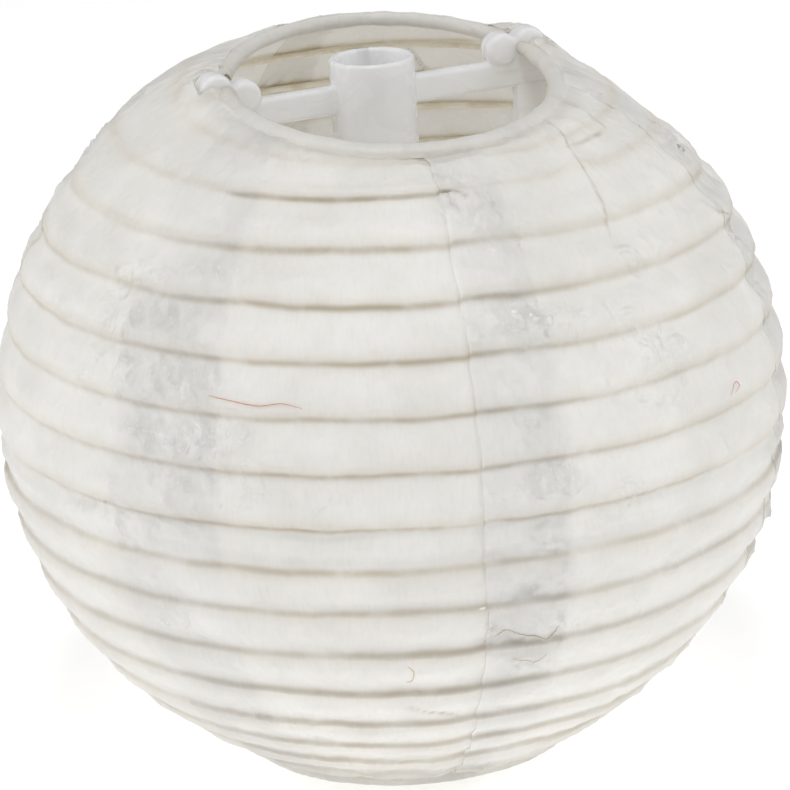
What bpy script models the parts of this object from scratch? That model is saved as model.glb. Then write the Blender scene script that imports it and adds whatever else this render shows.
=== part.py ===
"""Miniature paper globe lantern with its moulded expander, in metres, +Z up.

The lantern stands on its bottom ring, whose underside is at Z = 0. The globe's axis is the Z axis, and the
expander's two arms lie along X. The top ring leans towards -Y, as the expander's clips hold it.
"""
import math

import bmesh
import bpy
from mathutils import Matrix, Vector

MM = 0.001

# Driving dimensions of the globe.
GLOBE_RADIUS = 37.3 * MM          # middle of the paper at the equator
GLOBE_HALF_HEIGHT = 36.2 * MM     # where the paper's curve would close at a pole
GLOBE_CENTRE_Z = 34.0 * MM
GORE_COUNT = 6
FIRST_SEAM_DEG = 21.5             # the first of the six evenly spaced seams, from +X
PAPER_THICKNESS = 0.4 * MM        # stand-in thickness of the glued paper
GAP = 0.3 * MM                    # between neighbouring solids

# The two end rings.
RING_RADIUS = 15.2 * MM           # to the middle of the wire
RING_WIRE = 0.55 * MM
BOTTOM_RING_Z = RING_WIRE
TOP_RING_CENTRE = Vector((0.0, -4.2 * MM, 65.2 * MM))
TOP_RING_LEAN = math.radians(10.5)

# The rib spiral: one wire, left-handed, turning down from the top ring to the bottom ring.
RIB_WIRE = 0.35 * MM
RIB_PITCH_DEG = 7.8               # of latitude for each turn
RIB_PHASE_LATITUDE_DEG = 53.6     # the wire's latitude where it passes RIB_PHASE_ANGLE_DEG
RIB_PHASE_ANGLE_DEG = -112.0
RIB_START_ANGLE_DEG = -520.0
RIB_END_LATITUDE_DEG = -62.6

# The caps of the globe, where the paper leaves the ellipsoid for the rings.
CAP_LATITUDE = math.radians(45.8)
RING_LATITUDE = math.acos(RING_RADIUS / GLOBE_RADIUS)
RING_CLEARANCE = 1.2 * MM         # from the middle of a ring's wire to the paper's edge

# The expander: bulb tube, arms, clips and legs, one flat moulding.
TUBE_RADIUS = 4.0 * MM
TUBE_BORE = 3.3 * MM
TUBE_TOP_Z = 66.9 * MM
TUBE_LENGTH = 11.0 * MM
KEYWAY_WIDTH = 1.2 * MM
KEYWAY_DEPTH = 0.3 * MM
KEYWAY_ANGLE = math.radians(80.0)
ARM_TOP_Z = 64.6 * MM
ARM_HEIGHT = 2.7 * MM
ARM_THICKNESS = 1.6 * MM
ARM_REACH = 17.4 * MM
LOBE_RADIUS = 1.5 * MM
LOBE_SPACING = 3.05 * MM
LOBE_THICKNESS = 2.4 * MM
LOBE_ROUNDING = 0.45 * MM
LEG_TOP_WIDTH = 3.0 * MM
LEG_FOOT_WIDTH = 2.3 * MM
HINGE_X = 15.0 * MM               # where a leg flexes, under its arm's end
SNAP_HEIGHT = 1.75 * MM           # the foot's bump over the bottom ring
SNAP_REACH = 14.8 * MM
FOOT_LIFT = 0.3 * MM

PAPER_WHITE = (0.86, 0.84, 0.79, 1.0)
WIRE_GREY = (0.42, 0.38, 0.33, 1.0)
PLASTIC_WHITE = (0.88, 0.88, 0.89, 1.0)


def clear_scene():
    for old in list(bpy.data.objects):
        bpy.data.objects.remove(old, do_unlink=True)


def make_material(name, colour, roughness, metallic=0.0):
    material = bpy.data.materials.new(name)
    material.use_nodes = True
    shader = material.node_tree.nodes["Principled BSDF"]
    shader.inputs["Base Color"].default_value = colour
    shader.inputs["Roughness"].default_value = roughness
    shader.inputs["Metallic"].default_value = metallic
    return material


def make_object(name, mesh_data, material, location=(0.0, 0.0, 0.0), smooth_angle=None):
    """Turn a bmesh into a scene object whose faces point outwards."""
    bmesh.ops.recalc_face_normals(mesh_data, faces=mesh_data.faces)
    mesh = bpy.data.meshes.new(name)
    mesh_data.to_mesh(mesh)
    mesh_data.free()
    if smooth_angle is not None:
        mesh.shade_smooth()
        mesh.set_sharp_from_angle(angle=math.radians(smooth_angle))
    if material is not None:
        mesh.materials.append(material)
    made = bpy.data.objects.new(name, mesh)
    made.location = location
    bpy.context.collection.objects.link(made)
    return made


def hide_tool(tool):
    tool.hide_render = True
    tool.display_type = "WIRE"
    return tool


def boolean(target, tool, operation):
    modifier = target.modifiers.new(operation.lower() + "_" + tool.name, "BOOLEAN")
    modifier.operation = operation
    modifier.solver = "EXACT"
    modifier.object = hide_tool(tool)


def sweep_section(centres, outs, ups, radius, sides, closed):
    """A round wire along a list of centres. The section's first flat faces straight down."""
    mesh_data = bmesh.new()
    corner_radius = radius / math.cos(math.pi / sides)
    loops = []
    for centre, out, up in zip(centres, outs, ups):
        loop = []
        for side in range(sides):
            angle = -0.5 * math.pi + (side + 0.5) * 2.0 * math.pi / sides
            offset = out * math.cos(angle) + up * math.sin(angle)
            loop.append(mesh_data.verts.new(centre + offset * corner_radius))
        loops.append(loop)
    steps = len(loops) if closed else len(loops) - 1
    for step in range(steps):
        here = loops[step]
        after = loops[(step + 1) % len(loops)]
        for side in range(sides):
            other = (side + 1) % sides
            mesh_data.faces.new((here[side], here[other], after[other], after[side]))
    if not closed:
        mesh_data.faces.new(loops[0])
        mesh_data.faces.new(loops[-1])
    return mesh_data


def ring_mesh(wire_radius, segments, sides):
    """A wire hoop round the origin, lying flat."""
    angles = [2.0 * math.pi * step / segments for step in range(segments)]
    outs = [Vector((math.cos(angle), math.sin(angle), 0.0)) for angle in angles]
    centres = [out * RING_RADIUS for out in outs]
    ups = [Vector((0.0, 0.0, 1.0))] * segments
    return sweep_section(centres, outs, ups, wire_radius, sides, closed=True)


def lean_top_ring(ring):
    ring.location = TOP_RING_CENTRE
    ring.rotation_euler = (TOP_RING_LEAN, 0.0, 0.0)
    return ring


def ellipsoid_point(latitude, angle):
    across = GLOBE_RADIUS * math.cos(latitude)
    height = GLOBE_CENTRE_Z + GLOBE_HALF_HEIGHT * math.sin(latitude)
    return Vector((across * math.cos(angle), across * math.sin(angle), height))


def top_ring_point(angle):
    """The point of the leaning top ring that lies at this angle round the globe's axis."""
    shift = TOP_RING_CENTRE.y
    side = math.sqrt(RING_RADIUS ** 2 - (shift * math.cos(angle)) ** 2)
    across = shift * math.sin(angle) + side
    y = across * math.sin(angle)
    height = TOP_RING_CENTRE.z + (y - shift) * math.tan(TOP_RING_LEAN)
    return Vector((across * math.cos(angle), y, height))


def bottom_ring_point(angle):
    return Vector((RING_RADIUS * math.cos(angle), RING_RADIUS * math.sin(angle), BOTTOM_RING_Z))


def cap_curve(angle, end):
    """Start, control and end points of the paper's curve over one cap. end is 1 on top, -1 below."""
    start = ellipsoid_point(end * CAP_LATITUDE, angle)
    beyond = ellipsoid_point(end * (CAP_LATITUDE + 0.01), angle)
    finish = top_ring_point(angle) if end > 0 else bottom_ring_point(angle)
    reach = (finish - start).length
    control = start + (beyond - start).normalized() * reach / 2.0
    return start, control, finish


def paper_point(latitude, angle):
    """The middle of the paper: an ellipsoid between the caps, and a smooth curve to each ring."""
    if abs(latitude) <= CAP_LATITUDE:
        return ellipsoid_point(latitude, angle)
    end = 1 if latitude > 0 else -1
    start, control, finish = cap_curve(angle, end)
    t = (abs(latitude) - CAP_LATITUDE) / (RING_LATITUDE - CAP_LATITUDE)
    return start * (1.0 - t) ** 2 + control * 2.0 * t * (1.0 - t) + finish * t ** 2


def paper_normal(latitude, angle):
    step = 0.01
    along = paper_point(latitude, angle + step) - paper_point(latitude, angle - step)
    upward = paper_point(latitude + step, angle) - paper_point(latitude - step, angle)
    return along.cross(upward).normalized()


def edge_latitude(angle, end):
    """Latitude where the paper's solid stops, RING_CLEARANCE short of a ring's wire."""
    start, control, finish = cap_curve(angle, end)
    share = RING_CLEARANCE / (finish - start).length
    return end * (RING_LATITUDE - share * (RING_LATITUDE - CAP_LATITUDE))


def gore_mesh(start_angle, end_angle, columns=8, rows=16):
    """One panel of the globe, from ring to ring, a thin closed solid."""
    mesh_data = bmesh.new()
    layers = []
    for side in (0.5, -0.5):
        grid = []
        for row in range(rows + 1):
            line = []
            for column in range(columns + 1):
                share = column / columns
                angle = start_angle + (end_angle - start_angle) * share
                top = edge_latitude(angle, 1)
                bottom = edge_latitude(angle, -1)
                latitude = bottom + (top - bottom) * row / rows
                middle = paper_point(latitude, angle)
                seam_gap = (0.5 - share) * GAP / Vector((middle.x, middle.y)).length
                middle = paper_point(latitude, angle + seam_gap)
                normal = paper_normal(latitude, angle + seam_gap)
                line.append(mesh_data.verts.new(middle + normal * PAPER_THICKNESS * side))
            grid.append(line)
        layers.append(grid)
    outer, inner = layers
    for row in range(rows):
        for column in range(columns):
            for grid in layers:
                mesh_data.faces.new((grid[row][column], grid[row][column + 1],
                                     grid[row + 1][column + 1], grid[row + 1][column]))
    for row in range(rows):
        for column in (0, columns):
            mesh_data.faces.new((outer[row][column], outer[row + 1][column],
                                 inner[row + 1][column], inner[row][column]))
    for column in range(columns):
        for row in (0, rows):
            mesh_data.faces.new((outer[row][column], outer[row][column + 1],
                                 inner[row][column + 1], inner[row][column]))
    return mesh_data


def box_mesh(low, high):
    mesh_data = bmesh.new()
    bmesh.ops.create_cube(mesh_data, size=1.0)
    low, high = Vector(low), Vector(high)
    for vert in mesh_data.verts:
        vert.co = Vector([low[i] + (vert.co[i] + 0.5) * (high[i] - low[i]) for i in range(3)])
    return mesh_data


def cylinder_mesh(radius, length, segments, axis="Z", rounding=0.0):
    """A round bar centred on the origin, along Z or Y, with rounded rims when asked."""
    mesh_data = bmesh.new()
    bmesh.ops.create_cone(mesh_data, cap_ends=True, segments=segments, radius1=radius,
                          radius2=radius, depth=length)
    if rounding:
        rims = [edge for edge in mesh_data.edges if abs(edge.verts[0].co.z - edge.verts[1].co.z) < 1e-7]
        bmesh.ops.bevel(mesh_data, geom=rims, offset=rounding, segments=2, affect="EDGES", profile=0.5)
    if axis == "Y":
        mesh_data.transform(Matrix.Rotation(math.radians(90.0), 4, "X"))
    return mesh_data


def extruded_outline(points, thickness):
    """A closed outline in XZ, extruded along Y about its middle plane."""
    mesh_data = bmesh.new()
    front = [mesh_data.verts.new((x, -thickness / 2.0, z)) for x, z in points]
    back = [mesh_data.verts.new((x, thickness / 2.0, z)) for x, z in points]
    mesh_data.faces.new(front)
    mesh_data.faces.new(list(reversed(back)))
    for index in range(len(points)):
        other = (index + 1) % len(points)
        mesh_data.faces.new((front[index], back[index], back[other], front[other]))
    return mesh_data


def clip_centre():
    """Where the top ring's wire crosses the expander's plane, on the +X side."""
    across = math.sqrt(RING_RADIUS ** 2 - (TOP_RING_CENTRE.y / math.cos(TOP_RING_LEAN)) ** 2)
    height = TOP_RING_CENTRE.z - TOP_RING_CENTRE.y * math.tan(TOP_RING_LEAN)
    return Vector((across, 0.0, height))


def make_rings(material):
    top = make_object("top_ring", ring_mesh(RING_WIRE, 36, 8), material, smooth_angle=60.0)
    lean_top_ring(top)
    make_object("bottom_ring", ring_mesh(RING_WIRE, 36, 8), material,
                location=(0.0, 0.0, BOTTOM_RING_Z), smooth_angle=60.0)


def make_rib_spiral(material, segments_per_turn=24, sides=5):
    """One wire wound inside the paper, a gap away from it."""
    inset = PAPER_THICKNESS / 2.0 + GAP + RIB_WIRE
    centres, outs, ups = [], [], []
    angle_deg = RIB_START_ANGLE_DEG
    while True:
        turns = (angle_deg - RIB_PHASE_ANGLE_DEG) / 360.0
        latitude_deg = RIB_PHASE_LATITUDE_DEG - RIB_PITCH_DEG * turns
        if latitude_deg < RIB_END_LATITUDE_DEG:
            break
        latitude, angle = math.radians(latitude_deg), math.radians(angle_deg)
        normal = paper_normal(latitude, angle)
        along = Vector((-math.sin(angle), math.cos(angle), 0.0))
        centres.append(paper_point(latitude, angle) - normal * inset)
        outs.append(normal)
        ups.append(normal.cross(along).normalized())
        angle_deg += 360.0 / segments_per_turn
    mesh_data = sweep_section(centres, outs, ups, RIB_WIRE, sides, closed=False)
    make_object("rib_spiral", mesh_data, material, smooth_angle=80.0)


def make_gores(material):
    """Six panels. The two that a clip pokes through are slit round the clip's outer lobe."""
    clip = clip_centre()
    half_width = LOBE_THICKNESS / 2.0 + GAP
    outside = clip.x + LOBE_SPACING / 2.0 + LOBE_RADIUS + GAP
    inside = clip.x - LOBE_SPACING
    below = clip.z - LOBE_RADIUS - 3.0 * MM
    above = clip.z + LOBE_RADIUS + 3.0 * MM
    slits = []
    for side in (1, -1):
        low_x, high_x = sorted((side * inside, side * outside))
        slit = make_object("clip_slit_%d" % (side > 0), box_mesh((low_x, -half_width, below),
                                                               (high_x, half_width, above)), None)
        slits.append(slit)
    pitch = 360.0 / GORE_COUNT
    for index in range(GORE_COUNT):
        start_deg = FIRST_SEAM_DEG + index * pitch
        mesh_data = gore_mesh(math.radians(start_deg), math.radians(start_deg + pitch))
        gore = make_object("paper_gore_%d" % (index + 1), mesh_data, material, smooth_angle=40.0)
        for side, slit in zip((1, -1), slits):
            clip_angle = 360.0 if side > 0 else 180.0
            if start_deg < clip_angle < start_deg + pitch:
                boolean(gore, slit, "DIFFERENCE")


def make_expander(material):
    """Tube, arms and four clip lobes in one moulding, with the top ring's wire free in the clips."""
    clip = clip_centre()
    arm_low = (-ARM_REACH, -ARM_THICKNESS / 2.0, ARM_TOP_Z - ARM_HEIGHT)
    arm_high = (ARM_REACH, ARM_THICKNESS / 2.0, ARM_TOP_Z)
    expander = make_object("expander", box_mesh(arm_low, arm_high), material)
    tube_middle = (0.0, 0.0, TUBE_TOP_Z - TUBE_LENGTH / 2.0)
    tube = make_object("tube_body", cylinder_mesh(TUBE_RADIUS, TUBE_LENGTH, 32), None, tube_middle)
    boolean(expander, tube, "UNION")
    for side in (1, -1):
        web_low_x, web_high_x = sorted((side * (clip.x - LOBE_SPACING / 2.0),
                                        side * (clip.x + LOBE_SPACING / 2.0)))
        web = box_mesh((web_low_x, -LOBE_THICKNESS / 2.0 + LOBE_ROUNDING, ARM_TOP_Z - 0.8 * MM),
                       (web_high_x, LOBE_THICKNESS / 2.0 - LOBE_ROUNDING, clip.z - 0.1 * MM))
        boolean(expander, make_object("clip_web", web, None), "UNION")
        for place in (-0.5, 0.5):
            centre = (side * (clip.x + place * LOBE_SPACING), 0.0, clip.z)
            lobe = cylinder_mesh(LOBE_RADIUS, LOBE_THICKNESS, 16, axis="Y", rounding=LOBE_ROUNDING)
            boolean(expander, make_object("clip_lobe", lobe, None, centre), "UNION")
    bore = make_object("tube_bore", cylinder_mesh(TUBE_BORE, TUBE_LENGTH * 1.2, 32), None, tube_middle)
    boolean(expander, bore, "DIFFERENCE")
    keyway = box_mesh((TUBE_BORE - 1.0 * MM, -KEYWAY_WIDTH / 2.0, -TUBE_LENGTH),
                      (TUBE_BORE + KEYWAY_DEPTH, KEYWAY_WIDTH / 2.0, TUBE_LENGTH))
    keyway_tool = make_object("tube_keyway", keyway, None, tube_middle)
    keyway_tool.rotation_euler = (0.0, 0.0, KEYWAY_ANGLE)
    boolean(expander, keyway_tool, "DIFFERENCE")
    wire_room = make_object("wire_room", ring_mesh(RING_WIRE + GAP, 72, 12), None)
    boolean(expander, lean_top_ring(wire_room), "DIFFERENCE")


def make_legs(material):
    """The two legs flex inwards at the arms' ends, so each turns about the point where it bends."""
    top_z = ARM_TOP_Z - ARM_HEIGHT - GAP
    hinge_z = top_z + GAP / 2.0
    ring_face = RING_RADIUS - RING_WIRE - GAP
    top_outer = ARM_REACH
    straight_z = top_z - 4.5 * MM
    for name, side in (("leg_right", 1), ("leg_left", -1)):
        outline = [
            (top_outer - LEG_TOP_WIDTH, top_z),
            (top_outer, top_z),
            (top_outer, straight_z),
            (ring_face, SNAP_HEIGHT + 1.2 * MM),
            (SNAP_REACH, SNAP_HEIGHT),
            (ring_face, SNAP_HEIGHT - 1.0 * MM),
            (ring_face - 0.2 * MM, FOOT_LIFT),
            (ring_face - LEG_FOOT_WIDTH, FOOT_LIFT),
            (ring_face - LEG_FOOT_WIDTH, SNAP_HEIGHT + 1.2 * MM),
            (top_outer - LEG_TOP_WIDTH, straight_z),
        ]
        local = [(side * (x - HINGE_X), z - hinge_z) for x, z in outline]
        leg = make_object(name, extruded_outline(local, ARM_THICKNESS), material,
                          location=(side * HINGE_X, 0.0, hinge_z))
        bevel = leg.modifiers.new("rounded_edges", "BEVEL")
        bevel.width = 0.25 * MM
        bevel.segments = 1
        bevel.limit_method = "ANGLE"
        bevel.angle_limit = math.radians(60.0)


def main():
    clear_scene()
    paper = make_material("rice_paper", PAPER_WHITE, 0.75)
    wire = make_material("steel_wire", WIRE_GREY, 0.45, 0.9)
    plastic = make_material("frosted_plastic", PLASTIC_WHITE, 0.3)
    make_rings(wire)
    make_rib_spiral(wire)
    make_gores(paper)
    make_expander(plastic)
    make_legs(plastic)


main()
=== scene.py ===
"""Looks of the miniature paper globe lantern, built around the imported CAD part. Metres, +Z up.

The camera looks along the lantern from -Y and -X. Angles round the globe are in degrees from +X. A "turn"
counts the rib spiral's turns down the globe, so that the paper's relief follows the ribs.
"""
import math

import bmesh
import bpy
import numpy as np
from mathutils import Matrix, Vector


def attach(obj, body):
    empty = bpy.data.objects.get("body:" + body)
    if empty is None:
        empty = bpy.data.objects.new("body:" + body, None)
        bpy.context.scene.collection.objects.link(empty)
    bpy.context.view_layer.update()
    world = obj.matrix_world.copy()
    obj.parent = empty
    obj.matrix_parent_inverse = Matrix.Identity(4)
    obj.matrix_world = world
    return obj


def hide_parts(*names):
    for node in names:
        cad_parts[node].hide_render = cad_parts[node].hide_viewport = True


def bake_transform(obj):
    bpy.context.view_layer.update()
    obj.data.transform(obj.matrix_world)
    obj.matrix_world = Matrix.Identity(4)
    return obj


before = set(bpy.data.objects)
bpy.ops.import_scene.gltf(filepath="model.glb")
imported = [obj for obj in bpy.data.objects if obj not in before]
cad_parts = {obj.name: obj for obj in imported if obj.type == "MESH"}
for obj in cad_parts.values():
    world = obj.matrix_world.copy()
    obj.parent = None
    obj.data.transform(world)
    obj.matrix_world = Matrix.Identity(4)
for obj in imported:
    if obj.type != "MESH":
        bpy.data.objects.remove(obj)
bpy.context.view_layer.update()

MM = 0.001

# The CAD's own dimensions.
GLOBE_RADIUS = 37.3 * MM
GLOBE_HALF_HEIGHT = 36.2 * MM
GLOBE_CENTRE_Z = 34.0 * MM
RING_RADIUS = 15.2 * MM
BOTTOM_RING_Z = 0.55 * MM
TOP_RING_CENTRE = np.array((0.0, -4.2 * MM, 65.2 * MM))
TOP_RING_LEAN = math.radians(10.5)
CAP_LATITUDE = math.radians(45.8)
RING_LATITUDE = math.acos(RING_RADIUS / GLOBE_RADIUS)
TUBE_RADIUS = 4.0 * MM
TUBE_BORE = 3.3 * MM
TUBE_TOP_Z = 66.9 * MM
TUBE_LENGTH = 11.0 * MM
KEYWAY_WIDTH = 1.2 * MM
KEYWAY_DEPTH = 0.3 * MM
KEYWAY_ANGLE = math.radians(80.0)
ARM_TOP_Z = 64.6 * MM
ARM_HEIGHT = 2.7 * MM
ARM_THICKNESS = 1.6 * MM
ARM_REACH = 17.4 * MM
LOBE_RADIUS = 1.5 * MM
LOBE_SPACING = 3.05 * MM
LOBE_THICKNESS = 2.4 * MM
CLIP = Vector((14.588 * MM, 0.0, 65.978 * MM))

# The rib spiral.
RIB_PITCH_DEG = 7.8
RIB_PHASE_LATITUDE_DEG = 53.6
RIB_PHASE_ANGLE_DEG = -112.0
FIRST_TURN, LAST_TURN = -0.45, 14.9
RIB_WIRE = 0.30 * MM

# The six gores: seam, how far the upper sheet's edge lies from it, and how far the lower sheet runs on.
SEAMS = ((21.5, 1.5, 13.0), (81.5, -1.0, 11.0), (141.5, 2.0, 14.0), (201.5, 3.0, 21.0), (261.5, -1.8, 10.5),
         (321.5, 0.5, 13.0))
FRONT_SEAM, FRONT_SEAM_DEG = 261.5, -100.3   # the same seam as listed, and its upper edge
PAPER = 0.07 * MM
SHEET_LIFT = 0.055 * MM           # of the upper sheet's edge over the lower sheet


# ---------------------------------------------------------------- camera

def add_camera():
    azimuth, elevation, roll = math.radians(-22.0), math.radians(17.5), math.radians(3.47)
    distance = 433.56 * MM
    back = Vector((math.sin(azimuth) * math.cos(elevation), -math.cos(azimuth) * math.cos(elevation),
                   math.sin(elevation)))
    level_right = Vector((math.cos(azimuth), math.sin(azimuth), 0.0))
    level_up = back.cross(level_right)
    right = level_right * math.cos(roll) - level_up * math.sin(roll)
    up = level_right * math.sin(roll) + level_up * math.cos(roll)
    aim = Vector((0.0, 0.0, GLOBE_CENTRE_Z)) + right * 0.32 * MM - up * 0.30 * MM
    data = bpy.data.cameras.new("camera")
    data.sensor_width = 36.0
    data.lens = 207.05
    data.clip_start = 0.01
    camera = bpy.data.objects.new("camera", data)
    camera.matrix_world = Matrix.Translation(aim + back * distance) @ Matrix(
        (right, up, back)).transposed().to_4x4()
    bpy.context.collection.objects.link(camera)
    bpy.context.scene.camera = camera


add_camera()


# ---------------------------------------------------------------- maths of the paper's surface

def unit(vectors):
    return vectors / np.linalg.norm(vectors, axis=-1, keepdims=True)


def smoothstep(low, high, value):
    share = np.clip((value - low) / (high - low), 0.0, 1.0)
    return share * share * (3.0 - 2.0 * share)


def hump(value, middle, width):
    return np.exp(-((value - middle) / width) ** 2)


def turn_apart(angle, middle):
    """Signed degrees from middle to angle, the short way round."""
    return (angle - middle + 180.0) % 360.0 - 180.0


def wrapped_deg(angle):
    """Degrees from -180 to 180."""
    return np.degrees((angle + np.pi) % (2.0 * np.pi) - np.pi)


def round_axis(angle, size):
    """A point for each angle on a circle of this size, for noise that runs on round the globe."""
    return np.stack((np.cos(angle) * size, np.sin(angle) * size, np.zeros_like(angle)), -1)


def lattice_noise(points, cell, seed):
    """Smooth seeded noise from -1 to 1, with bumps about one cell across."""
    size = 32
    values = np.random.RandomState(seed).uniform(-1.0, 1.0, (size, size, size))
    scaled = np.asarray(points) / cell + 4096.0
    base = np.floor(scaled).astype(int)
    part = scaled - base
    part = part * part * (3.0 - 2.0 * part)
    total = np.zeros(base.shape[:-1])
    for corner in range(8):
        step = ((corner >> 2) & 1, (corner >> 1) & 1, corner & 1)
        weight = np.ones_like(total)
        place = []
        for axis in range(3):
            weight = weight * (part[..., axis] if step[axis] else 1.0 - part[..., axis])
            place.append((base[..., axis] + step[axis]) % size)
        total += weight * values[place[0], place[1], place[2]]
    return total


def creases(points, cell, seed):
    """From 0 to 1, sharp along thin winding lines."""
    return 1.0 - np.abs(lattice_noise(points, cell, seed)) ** 0.5 * 1.3


def through(points, value):
    """A smooth curve through the given (place, height) points, sampled at value."""
    xs, ys = np.array(points, float).T
    slopes = np.gradient(ys, xs)
    index = np.clip(np.searchsorted(xs, value) - 1, 0, len(xs) - 2)
    span = xs[index + 1] - xs[index]
    t = np.clip((value - xs[index]) / span, 0.0, 1.0)
    return (ys[index] * (2 * t ** 3 - 3 * t ** 2 + 1) + slopes[index] * span * (t ** 3 - 2 * t ** 2 + t)
            + ys[index + 1] * (3 * t ** 2 - 2 * t ** 3) + slopes[index + 1] * span * (t ** 3 - t ** 2))


def ellipsoid_point(latitude, angle):
    across = GLOBE_RADIUS * np.cos(latitude)
    return np.stack((across * np.cos(angle), across * np.sin(angle),
                     GLOBE_CENTRE_Z + GLOBE_HALF_HEIGHT * np.sin(latitude)), -1)


def ring_point(angle, end):
    """The middle of an end ring's wire at this angle round the axis. end is 1 on top, -1 below."""
    if end < 0:
        return np.stack((RING_RADIUS * np.cos(angle), RING_RADIUS * np.sin(angle),
                         np.full_like(angle, BOTTOM_RING_Z)), -1)
    shift = TOP_RING_CENTRE[1]
    across = shift * np.sin(angle) + np.sqrt(RING_RADIUS ** 2 - (shift * np.cos(angle)) ** 2)
    y = across * np.sin(angle)
    return np.stack((across * np.cos(angle), y,
                     TOP_RING_CENTRE[2] + (y - shift) * math.tan(TOP_RING_LEAN)), -1)


def cap_curve(angle, end):
    start = ellipsoid_point(np.full_like(angle, end * CAP_LATITUDE), angle)
    beyond = ellipsoid_point(np.full_like(angle, end * (CAP_LATITUDE + 0.01)), angle)
    finish = ring_point(angle, end)
    reach = np.linalg.norm(finish - start, axis=-1, keepdims=True)
    return start, start + unit(beyond - start) * reach / 2.0, finish


def paper_point(latitude, angle):
    points = ellipsoid_point(latitude, angle)
    for end in (1, -1):
        cap = latitude * end > CAP_LATITUDE
        if cap.any():
            start, control, finish = cap_curve(angle[cap], end)
            t = ((latitude[cap] * end - CAP_LATITUDE) / (RING_LATITUDE - CAP_LATITUDE))[:, None]
            points[cap] = start * (1.0 - t) ** 2 + control * 2.0 * t * (1.0 - t) + finish * t ** 2
    return points


def paper_normal(latitude, angle):
    step = 0.004
    along = paper_point(latitude, angle + step) - paper_point(latitude, angle - step)
    upward = paper_point(latitude + step, angle) - paper_point(latitude - step, angle)
    return unit(np.cross(along, upward))


def raised(latitude, angle, height):
    """Points this far above the smooth surface."""
    return paper_point(latitude, angle) + paper_normal(latitude, angle) * height[:, None]


def below_ring(latitude, angle, end):
    """Distance down the paper from an end ring's wire."""
    start, _, finish = cap_curve(angle, end)
    reach = np.linalg.norm(finish - start, axis=-1)
    return (RING_LATITUDE - latitude * end) / (RING_LATITUDE - CAP_LATITUDE) * reach


def latitude_below_ring(distance, angle, end):
    start, _, finish = cap_curve(angle, end)
    reach = np.linalg.norm(finish - start, axis=-1)
    return end * (RING_LATITUDE - distance / reach * (RING_LATITUDE - CAP_LATITUDE))


def latitude_shift(latitude_deg):
    """How far the real ribs lie above the even spiral, in degrees of latitude."""
    top = 3.4 * np.exp((latitude_deg - 57.0) / 10.9)
    low = 1.1 * smoothstep(-8.0, -18.0, latitude_deg) + 1.6 * smoothstep(-38.0, -52.0, latitude_deg)
    return top + low


LATITUDE_STEPS = np.linspace(-69.0, 68.0, 3001)
TURN_STEPS = (RIB_PHASE_LATITUDE_DEG - LATITUDE_STEPS + latitude_shift(LATITUDE_STEPS)) / RIB_PITCH_DEG


def turn_at(latitude):
    return np.interp(np.degrees(latitude), LATITUDE_STEPS, TURN_STEPS)


def latitude_at(turn):
    return np.radians(np.interp(-turn, -TURN_STEPS, LATITUDE_STEPS))


def rib_offset(angle_deg):
    """The share of a turn by which a rib has come down at this angle."""
    return (angle_deg - RIB_PHASE_ANGLE_DEG) / 360.0


def rib_wobble(angle_deg, turn):
    around = np.radians(angle_deg)
    places = np.stack((np.cos(around) * 40.0, np.sin(around) * 40.0, turn * 7.0), -1)
    seam = turn_apart(angle_deg, FRONT_SEAM_DEG)
    jump = 0.045 * smoothstep(-0.6, 0.6, seam) * smoothstep(22.0, 5.0, seam)
    return jump + 0.030 * lattice_noise(places, 7.0, 11) + 0.016 * lattice_noise(places, 3.1, 12)


SHARP_BAND = ((0.0, 0.15), (0.025, 0.125), (0.05, 0.04), (0.072, -0.08), (0.10, -0.22), (0.15, -0.33),
              (0.22, -0.38), (0.30, -0.33), (0.42, -0.13), (0.54, 0.06), (0.66, 0.17), (0.80, 0.20), (0.91, 0.14),
              (0.965, 0.135), (1.0, 0.15))
SOFT_BAND = ((0.0, 0.03), (0.05, -0.09), (0.11, -0.25), (0.18, -0.31), (0.28, -0.24), (0.42, -0.02),
             (0.58, 0.17), (0.72, 0.25), (0.84, 0.23), (0.94, 0.11), (1.0, 0.03))
BAND_ROWS = (0.0, 0.025, 0.05, 0.072, 0.095, 0.125, 0.17, 0.24, 0.33, 0.43, 0.53, 0.63, 0.72, 0.80, 0.86, 0.91,
             0.945, 0.975)
FLIP_TURN = 7.5                   # above it the crease lies under each rib, below it over each rib

# Where the paper is pulled hard over the ribs: angle and spread in degrees, and how hard.
PULLED = ((-118.0, 30.0, 1.0), (-78.0, 26.0, 0.40), (-18.0, 20.0, 0.65), (60.0, 30.0, 1.0), (150.0, 20.0, 1.0))


def pulled_hard(angle_deg, points):
    share = np.zeros_like(angle_deg)
    for middle, spread, weight in PULLED:
        share = np.maximum(share, weight * hump(turn_apart(angle_deg, middle), 0.0, spread))
    return np.clip(share * (1.0 + 0.35 * lattice_noise(points, 8.0 * MM, 22)), 0.0, 1.0)


def band_height(place, sharp):
    """Height across a band whose crease is at its start."""
    return sharp * through(SHARP_BAND, place) + (1.0 - sharp) * through(SOFT_BAND, place)


def band_parts(latitude, angle):
    """Turns down the globe, the place in a band from 0 at a rib to 1 at the next, and how far each of the
    two ribs has its crease above it, from 0 to 1."""
    angle_deg = wrapped_deg(angle)
    turn = turn_at(latitude)
    offset = rib_offset(angle_deg)
    place = turn - offset + rib_wobble(angle_deg, turn)
    upper_rib = np.floor(place)
    down = place - upper_rib
    flipped_upper = smoothstep(FLIP_TURN - 0.08, FLIP_TURN + 0.08, upper_rib + offset)
    flipped_lower = smoothstep(FLIP_TURN - 0.08, FLIP_TURN + 0.08, upper_rib + 1.0 + offset)
    return turn, down, flipped_upper, flipped_lower


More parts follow.
